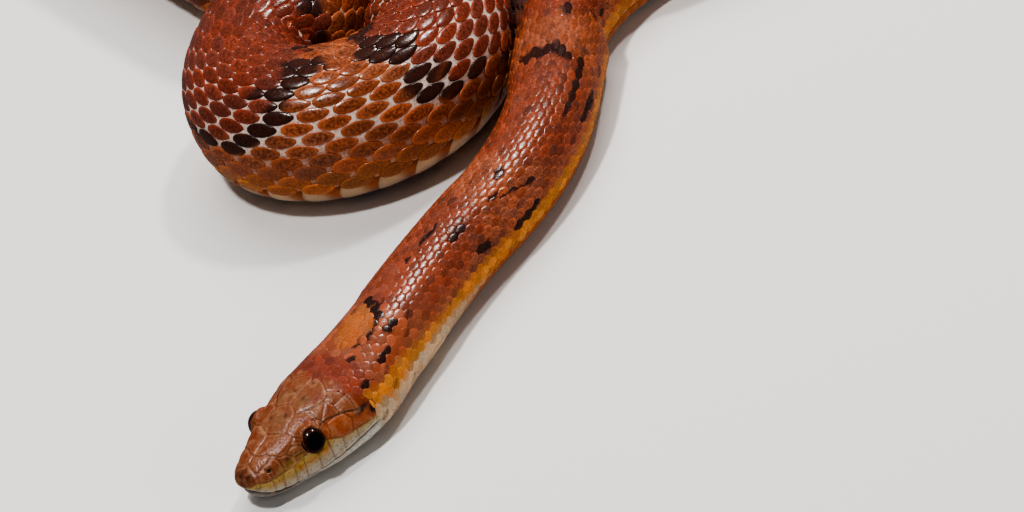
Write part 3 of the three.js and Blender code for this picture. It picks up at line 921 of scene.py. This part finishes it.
GROUPS = (("neck_scales", 0, 170), ("trunk_scales_1", 170, 440), ("trunk_scales_2", 440, 700),
          ("trunk_scales_3", 700, 950), ("trunk_scales_4", 950, VENT), ("tail_scales", VENT, LENGTH + 1))
for name, start, end in GROUPS:
    chosen = (root_s >= start) & (root_s < end)
    coat = stamped(name, (root_s[chosen], root_w[chosen]), (scale_points, scale_faces),
                   (lengths[chosen], widths[chosen], thickness[chosen]), 0.5, keels[chosen], scale_colours)
    coat.data.materials.append(material)
    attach(coat, "root")


# The belly plates
# Wide plates of horn, one to each cross row of scales, that run from side to side under the body and
# overlap rearwards. Behind the vent they are in pairs. They are cream, checkered with black.
BELLY_SHARE = 0.66
BELLY_STEPS = (8, 18)
PAIR_STEPS = (3, 6)
BELLY_ORANGE = (0.36, 0.09, 0.012)
CHECK_BLACK = (0.03, 0.025, 0.025)
STAIN = (0.42, 0.24, 0.12)


def belly_template(steps):
    """A closed plate with a rounded rear edge, made from a grid that is pulled up into a slab."""
    plate = bmesh.new()
    bmesh.ops.create_grid(plate, x_segments=steps[0], y_segments=steps[1], size=1.0)
    pulled = bmesh.ops.extrude_face_region(plate, geom=list(plate.faces))["geom"]
    for vert in (g for g in pulled if isinstance(g, bmesh.types.BMVert)):
        at_edge = max(abs(vert.co.x), abs(vert.co.y)) > 0.99
        vert.co.z = 0.55 if at_edge else 1.0
    points, faces = shape_of(plate)
    corner = np.abs(points[:, 1]) ** 9
    points[:, 0] *= 1 - 0.28 * corner * (points[:, 0] > 0)
    return points, faces


def belly_colours(s0, w0, s, share, x, chance):
    """Cream plates with an orange front edge at their tips, orange-brown painted shade on those tips along
    the neck, and black checks under the trunk.
    """
    s = np.broadcast_to(s0[:, None], share.shape)
    w = (share + 1) % 2 - 1
    cream = np.array(BELLY_CREAM) * (0.9 + 0.2 * chance[:, None])
    colours = np.repeat(cream[:, None], len(x), axis=1)
    front = smooth(0.1, -0.5, x - 2 * np.maximum(0.7 - np.abs(w), 0)) * smooth(0.86, 0.74, np.abs(w))
    front *= smooth(60, 200, s)
    # Painted shade: along the neck the tips of the plates turn orange-brown, for the shade under the lower
    # edge of the body.
    neck_end_shade = smooth(0.84, 0.72, np.abs(w)) * smooth(46, 60, s) * smooth(220, 120, s)
    colours = painted(colours, BELLY_ORANGE, np.clip(front + neck_end_shade, 0, 1))
    column = np.round(w * 14) / 14
    check = smooth(0.05, 0.25, wavy(3 * s, column, 21)) * smooth(0.76, 0.8, np.abs(w)) * smooth(90, 200, s)
    return painted(colours, CHECK_BLACK, 0.9 * check)


material, tree, shader = blank_material("belly plates")
hide = node(tree, "ShaderNodeAttribute", attribute_name="Hide").outputs["Color"]
stain = product_of(tree, mottle(tree, 1.4, 0.5, 0.75), 0.3)
tree.links.new(blend_of(tree, stain, hide, STAIN), shader.inputs["Base Color"])
shader.inputs["Roughness"].default_value = 0.3

plate_s = (segments[:-1] + segments[1:]) / 2
plate_step = np.diff(segments)
on_trunk = (plate_s > 25) & (plate_s < VENT)
on_tail = (plate_s >= VENT) & (plate_s < LENGTH - 4)
trunk_s, tail_s = plate_s[on_trunk], plate_s[on_tail]
trunk_width = 2 * (1 - BELLY_SHARE + 0.03) * half_girth(trunk_s)
trunk_sizes = (plate_step[on_trunk] * 1.2, trunk_width, coat_depth(trunk_s))
pair_w = np.concatenate([np.full(len(tail_s), 0.86), np.full(len(tail_s), -0.86)])
pair_s = np.concatenate([tail_s, tail_s])
pair_step = np.concatenate([plate_step[on_tail], plate_step[on_tail]])
pair_sizes = (pair_step * 1.2, 0.3 * half_girth(pair_s), coat_depth(pair_s))
for name, roots, steps, sizes in (
    ("belly_plates", (trunk_s, np.ones(len(trunk_s))), BELLY_STEPS, trunk_sizes),
    ("tail_plates", (pair_s, pair_w), PAIR_STEPS, pair_sizes),
):
    coat = stamped(name, roots, belly_template(steps), sizes, 0.45, np.zeros(len(roots[0])), belly_colours)
    coat.data.materials.append(material)
    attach(coat, "root")


# The floor, the light and the camera
# A plain pale floor under soft studio light, seen from the photo's side.
FLOOR_SIZE = 6
floor_shell = bmesh.new()
bmesh.ops.create_grid(floor_shell, x_segments=1, y_segments=1, size=FLOOR_SIZE)
floor = finished_object(floor_shell, "floor")
material, tree, shader = blank_material("pale floor")
shader.inputs["Base Color"].default_value = (0.8, 0.78, 0.75, 1)
shader.inputs["Roughness"].default_value = 0.8
floor.data.materials.append(material)
floor.location.z = -0.0002

SCALE_PX_PER_MM = 5.65
CAMERA_DISTANCE = 1.2
CAMERA_HEIGHT_ANGLE = np.radians(33)
CAMERA_ROLL = np.radians(21.5)
AIM_FROM_SNOUT = (56.96, 43.85)
SENSOR = 36
PICTURE_WIDTH = 1024
back = Vector((0, -np.cos(CAMERA_HEIGHT_ANGLE), np.sin(CAMERA_HEIGHT_ANGLE)))
right = Vector((1, 0, 0))
above = back.cross(right)
turned_right = right * np.cos(CAMERA_ROLL) - above * np.sin(CAMERA_ROLL)
turned_above = right * np.sin(CAMERA_ROLL) + above * np.cos(CAMERA_ROLL)
aim = Vector((SNOUT_AT[0] + AIM_FROM_SNOUT[0], SNOUT_AT[1] + AIM_FROM_SNOUT[1], 0)) * MM
camera_data = bpy.data.cameras.new("camera")
camera_data.sensor_width = SENSOR
camera_data.lens = SENSOR * SCALE_PX_PER_MM * CAMERA_DISTANCE / MM / PICTURE_WIDTH
camera = bpy.data.objects.new("camera", camera_data)
axes = Matrix((turned_right, turned_above, back)).transposed().to_4x4()
camera.matrix_world = Matrix.Translation(aim + back * CAMERA_DISTANCE) @ axes
bpy.context.collection.objects.link(camera)
bpy.context.scene.camera = camera
bpy.context.scene.view_settings.look = "AgX - High Contrast"


def softbox(name, sideways, upwards, towards, size, power):
    """A square lamp placed from the aim by the camera's own directions, facing the aim."""
    lamp = bpy.data.lights.new(name, "AREA")
    lamp.size = size
    lamp.energy = power
    made = bpy.data.objects.new(name, lamp)
    spot = aim + turned_right * sideways + turned_above * upwards + back * towards
    spot.z = max(spot.z, 0.25)
    made.matrix_world = Matrix.Translation(spot) @ (spot - aim).to_track_quat("Z", "Y").to_matrix().to_4x4()
    bpy.context.collection.objects.link(made)


softbox("key", -0.5, 0.62, 0.6, 0.09, 5)
softbox("rim", 0.1, 1, 0.12, 0.09, 3)
softbox("fill", 0.9, -0.1, 0.7, 0.8, 3.8)
softbox("top", -0.3, 0.9, -0.1, 0.7, 5)
bpy.data.objects["fill"].visible_glossy = False
bpy.data.objects["top"].visible_glossy = False
floor.visible_glossy = False
world = bpy.data.worlds.new("studio")
world.use_nodes = True
world.node_tree.nodes["Background"].inputs[0].default_value = (0.9, 0.92, 1, 1)
world.node_tree.nodes["Background"].inputs[1].default_value = 0.13
bpy.context.scene.world = world
